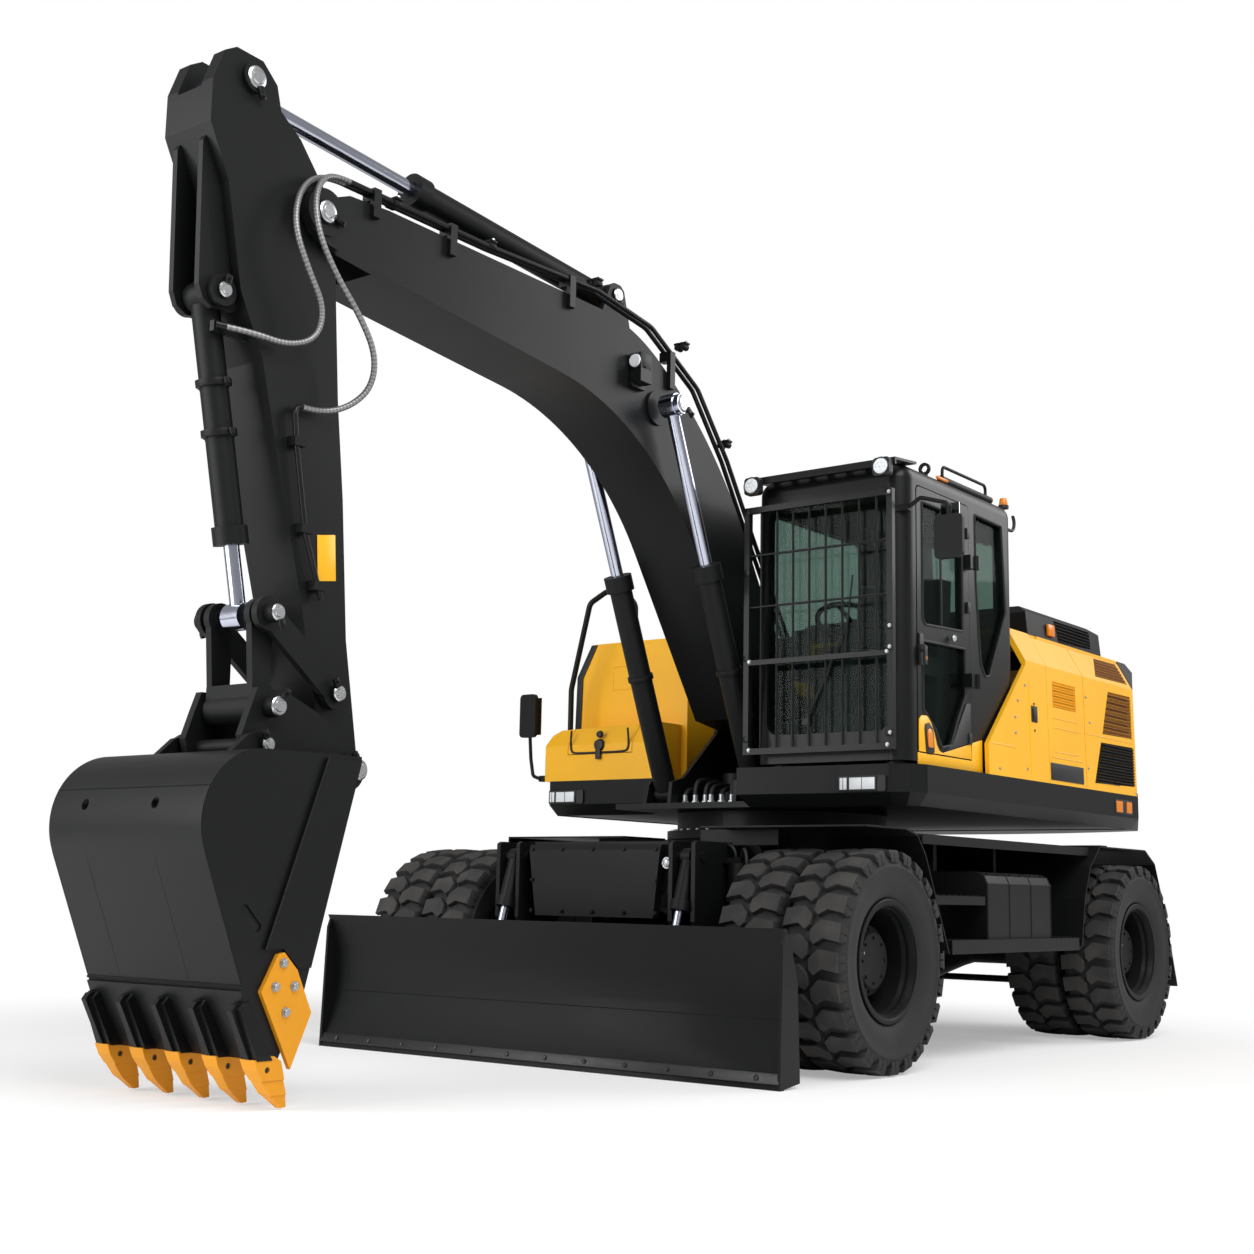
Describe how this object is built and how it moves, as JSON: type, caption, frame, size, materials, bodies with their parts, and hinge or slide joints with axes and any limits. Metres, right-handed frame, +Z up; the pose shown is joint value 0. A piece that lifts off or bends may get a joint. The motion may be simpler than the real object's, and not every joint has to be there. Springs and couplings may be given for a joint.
{
  "type": "wheeled excavator with dozer blade",
  "caption": "Wheeled excavator with a cab on a slewing upper structure, curved boom, arm with bucket on a coupler, twin wheels and a dozer blade.",
  "frame": {"origin": "middle of the bounding box at ground level, on the boom's centre plane", "axes": "+X to the blade and bucket end, +Y to the cab side, +Z up"},
  "size_m": [6.8341, 2.988, 3.905],
  "materials": {
    "charcoal": "satin paint",
    "black": "satin paint",
    "yellow": "gloss paint",
    "chrome": "polished",
    "iron": "cast",
    "plastic": "grained",
    "glass": "tinted clear",
    "tyre": "matt rubber",
    "hose": "braided sleeve"
  },
  "bodies": {
    "undercarriage": {"chassis_frame": "charcoal", "fixed_axle": "black", "steering_axle": "black", "driveline": "black", "nose_fittings": "charcoal", "mudguards": "charcoal", "side_steps": "charcoal"},
    "wheel_front_left": {"tyres_front_left": "tyre", "rims_front_left": "black"},
    "wheel_front_right": {"tyres_front_right": "tyre", "rims_front_right": "black"},
    "wheel_rear_left": {"tyres_rear_left": "tyre", "rims_rear_left": "black"},
    "wheel_rear_right": {"tyres_rear_right": "tyre", "rims_rear_right": "black"},
    "knuckle_left": {"knuckle_left": "black"},
    "knuckle_right": {"knuckle_right": "black"},
    "tie_rod": {"tie_rod": "black"},
    "blade": {"blade": "charcoal"},
    "blade_barrels": {"blade_barrels": "black"},
    "blade_rods": {"blade_rods": "chrome"},
    "upper": {"deck": "charcoal", "skirts": "black", "counterweight": "charcoal", "engine": "iron", "swing_motor": "black", "house_panels": "yellow", "fuel_tank": "yellow", "storage_box": "yellow", "rails_and_mirrors": "black", "lamps": "plastic", "cab_shell": "black", "cab_glass": "glass", "cab_interior": "plastic", "roof_visor": "black"},
    "cab_door": {"cab_door": "black", "door_glass": "glass"},
    "front_guard": {"front_guard": "black"},
    "door_engine_left": {"door_engine_left": "yellow"},
    "door_radiator_left": {"door_radiator_left": "yellow"},
    "door_pump_right": {"door_pump_right": "yellow"},
    "hood": {"hood": "black"},
    "storage_lid": {"storage_lid": "yellow"},
    "boom": {"boom": "charcoal", "boom_lines": "black", "hose_upper": "hose", "hose_lower": "hose"},
    "boom_barrels": {"boom_barrels": "black"},
    "boom_rods": {"boom_rods": "chrome"},
    "arm_barrel": {"arm_barrel": "black"},
    "arm_rod": {"arm_rod": "chrome"},
    "arm": {"arm": "charcoal", "arm_lines": "black"},
    "bucket_barrel": {"bucket_barrel": "black"},
    "bucket_rod": {"bucket_rod": "chrome"},
    "rocker": {"rocker": "black"},
    "h_link": {"h_link": "black"},
    "bucket": {"coupler": "black", "bucket": "charcoal", "wear_parts": "yellow"}
  },
  "joints": [
    {"name": "slew", "type": "hinge", "parent": "undercarriage", "child": "upper", "pos_m": [-0.86, 0, 1.1], "axis": [0, 0, 1], "continuous": true},
    {"name": "wheel_front_left_spin", "type": "hinge", "parent": "undercarriage", "child": "wheel_front_left", "pos_m": [0.394, 1.0645, 0.4885], "axis": [0, 1, 0], "continuous": true},
    {"name": "wheel_front_right_spin", "type": "hinge", "parent": "undercarriage", "child": "wheel_front_right", "pos_m": [0.394, -1.0645, 0.4885], "axis": [0, 1, 0], "continuous": true},
    {"name": "steer_left", "type": "hinge", "parent": "undercarriage", "child": "knuckle_left", "pos_m": [-2.514, 0.78, 0.4885], "axis": [0, 0, 1], "range_deg": [-22, 22]},
    {"name": "steer_right", "type": "hinge", "parent": "undercarriage", "child": "knuckle_right", "pos_m": [-2.514, -0.78, 0.4885], "axis": [0, 0, 1], "range_deg": [-22, 22]},
    {"name": "tie_rod_slide", "type": "slide", "parent": "undercarriage", "child": "tie_rod", "axis": [0, 1, 0], "range_m": [-0.08, 0.08]},
    {"name": "wheel_rear_left_spin", "type": "hinge", "parent": "knuckle_left", "child": "wheel_rear_left", "pos_m": [-2.514, 1.0645, 0.4885], "axis": [0, 1, 0], "continuous": true},
    {"name": "wheel_rear_right_spin", "type": "hinge", "parent": "knuckle_right", "child": "wheel_rear_right", "pos_m": [-2.514, -1.0645, 0.4885], "axis": [0, 1, 0], "continuous": true},
    {"name": "blade_lift", "type": "hinge", "parent": "undercarriage", "child": "blade", "pos_m": [0.6, 0, 0.42], "axis": [0, -1, 0], "range_deg": [-10, 30]},
    {"name": "blade_barrels_turn", "type": "hinge", "parent": "undercarriage", "child": "blade_barrels", "pos_m": [0.74, 0, 0.93], "axis": [0, -1, 0], "range_deg": [-6, 3]},
    {"name": "blade_rods_slide", "type": "slide", "parent": "blade_barrels", "child": "blade_rods", "axis": [0.2894, 0, -0.9572], "range_m": [-0.15, 0.055]},
    {"name": "boom_lift", "type": "hinge", "parent": "upper", "child": "boom", "pos_m": [-0.71, 0, 1.7], "axis": [0, -1, 0], "range_deg": [-35, 27]},
    {"name": "boom_barrels_turn", "type": "hinge", "parent": "upper", "child": "boom_barrels", "pos_m": [-0.172, 0, 1.281], "axis": [0, -1, 0], "range_deg": [-34, 27]},
    {"name": "boom_rods_slide", "type": "slide", "parent": "boom_barrels", "child": "boom_rods", "axis": [0.3885, 0, 0.9215], "range_m": [-0.42, 0.33]},
    {"name": "arm_swing", "type": "hinge", "parent": "boom", "child": "arm", "pos_m": [2.794, 0, 3.38], "axis": [0, 1, 0], "range_deg": [-80, 25], "deforming": ["hose_upper", "hose_lower"]},
    {"name": "arm_barrel_turn", "type": "hinge", "parent": "boom", "child": "arm_barrel", "pos_m": [0.81, 0, 3.655], "axis": [0, 1, 0], "range_deg": [-7, 3]},
    {"name": "arm_rod_slide", "type": "slide", "parent": "arm_barrel", "child": "arm_rod", "axis": [0.9977, 0, 0.0672], "range_m": [-0.71, 0.27]},
    {"name": "bucket_curl", "type": "hinge", "parent": "arm", "child": "bucket", "pos_m": [2.529, 0, 1.207], "axis": [0, 1, 0], "range_deg": [-10, 100]},
    {"name": "rocker_turn", "type": "hinge", "parent": "arm", "child": "rocker", "pos_m": [2.615, 0, 1.496], "axis": [0, 1, 0], "range_deg": [-22, 109]},
    {"name": "h_link_turn", "type": "hinge", "parent": "rocker", "child": "h_link", "pos_m": [2.96, 0, 1.76], "axis": [0, 1, 0], "range_deg": [-92, 19]},
    {"name": "bucket_barrel_turn", "type": "hinge", "parent": "arm", "child": "bucket_barrel", "pos_m": [3.21, 0, 2.95], "axis": [0, 1, 0], "range_deg": [-4, 1]},
    {"name": "bucket_rod_slide", "type": "slide", "parent": "bucket_barrel", "child": "bucket_rod", "axis": [-0.2056, 0, -0.9786], "range_m": [-0.15, 0.73]},
    {"name": "cab_door_swing", "type": "hinge", "parent": "upper", "child": "cab_door", "pos_m": [-0.635, 1.287, 2], "axis": [0, 0, 1], "range_deg": [0, 150]},
    {"name": "front_guard_swing", "type": "hinge", "parent": "upper", "child": "front_guard", "pos_m": [0.125, 1.242, 2], "axis": [0, 0, 1], "range_deg": [0, 90]},
    {"name": "door_engine_left_swing", "type": "hinge", "parent": "upper", "child": "door_engine_left", "pos_m": [-1.986, 1.288, 1.8], "axis": [0, 0, 1], "range_deg": [0, 100]},
    {"name": "door_radiator_left_swing", "type": "hinge", "parent": "upper", "child": "door_radiator_left", "pos_m": [-2.739, 1.288, 1.8], "axis": [0, 0, 1], "range_deg": [0, 100]},
    {"name": "door_pump_right_swing", "type": "hinge", "parent": "upper", "child": "door_pump_right", "pos_m": [-2.739, -1.288, 1.8], "axis": [0, 0, -1], "range_deg": [0, 100]},
    {"name": "hood_lift", "type": "hinge", "parent": "upper", "child": "hood", "pos_m": [-1.89, 0, 2.209], "axis": [0, 1, 0], "range_deg": [0, 60]},
    {"name": "storage_lid_lift", "type": "hinge", "parent": "upper", "child": "storage_lid", "pos_m": [-0.598, -0.89, 1.7], "axis": [0, -1, 0], "range_deg": [0, 70]}
  ],
  "couplings": [
    {"joint": "steer_right", "follows": "steer_left", "ratio": 1},
    {"joint": "tie_rod_slide", "follows": "steer_left", "m_per_rad": -0.195},
    {"joint": "blade_barrels_turn", "follows": "blade_lift", "ratio": -0.1381},
    {"joint": "blade_rods_slide", "follows": "blade_lift", "m_per_rad": -0.2725},
    {"joint": "boom_barrels_turn", "follows": "boom_lift", "ratio": 0.9339},
    {"joint": "boom_rods_slide", "follows": "boom_lift", "m_per_rad": 0.6568},
    {"joint": "arm_barrel_turn", "follows": "arm_swing", "ratio": 0.0768},
    {"joint": "arm_rod_slide", "follows": "arm_swing", "m_per_rad": 0.4987},
    {"joint": "rocker_turn", "follows": "bucket_curl", "ratio": 1.0802},
    {"joint": "h_link_turn", "follows": "bucket_curl", "ratio": -0.9131},
    {"joint": "bucket_barrel_turn", "follows": "bucket_curl", "ratio": -0.0331},
    {"joint": "bucket_rod_slide", "follows": "bucket_curl", "m_per_rad": 0.4147}
  ]
}
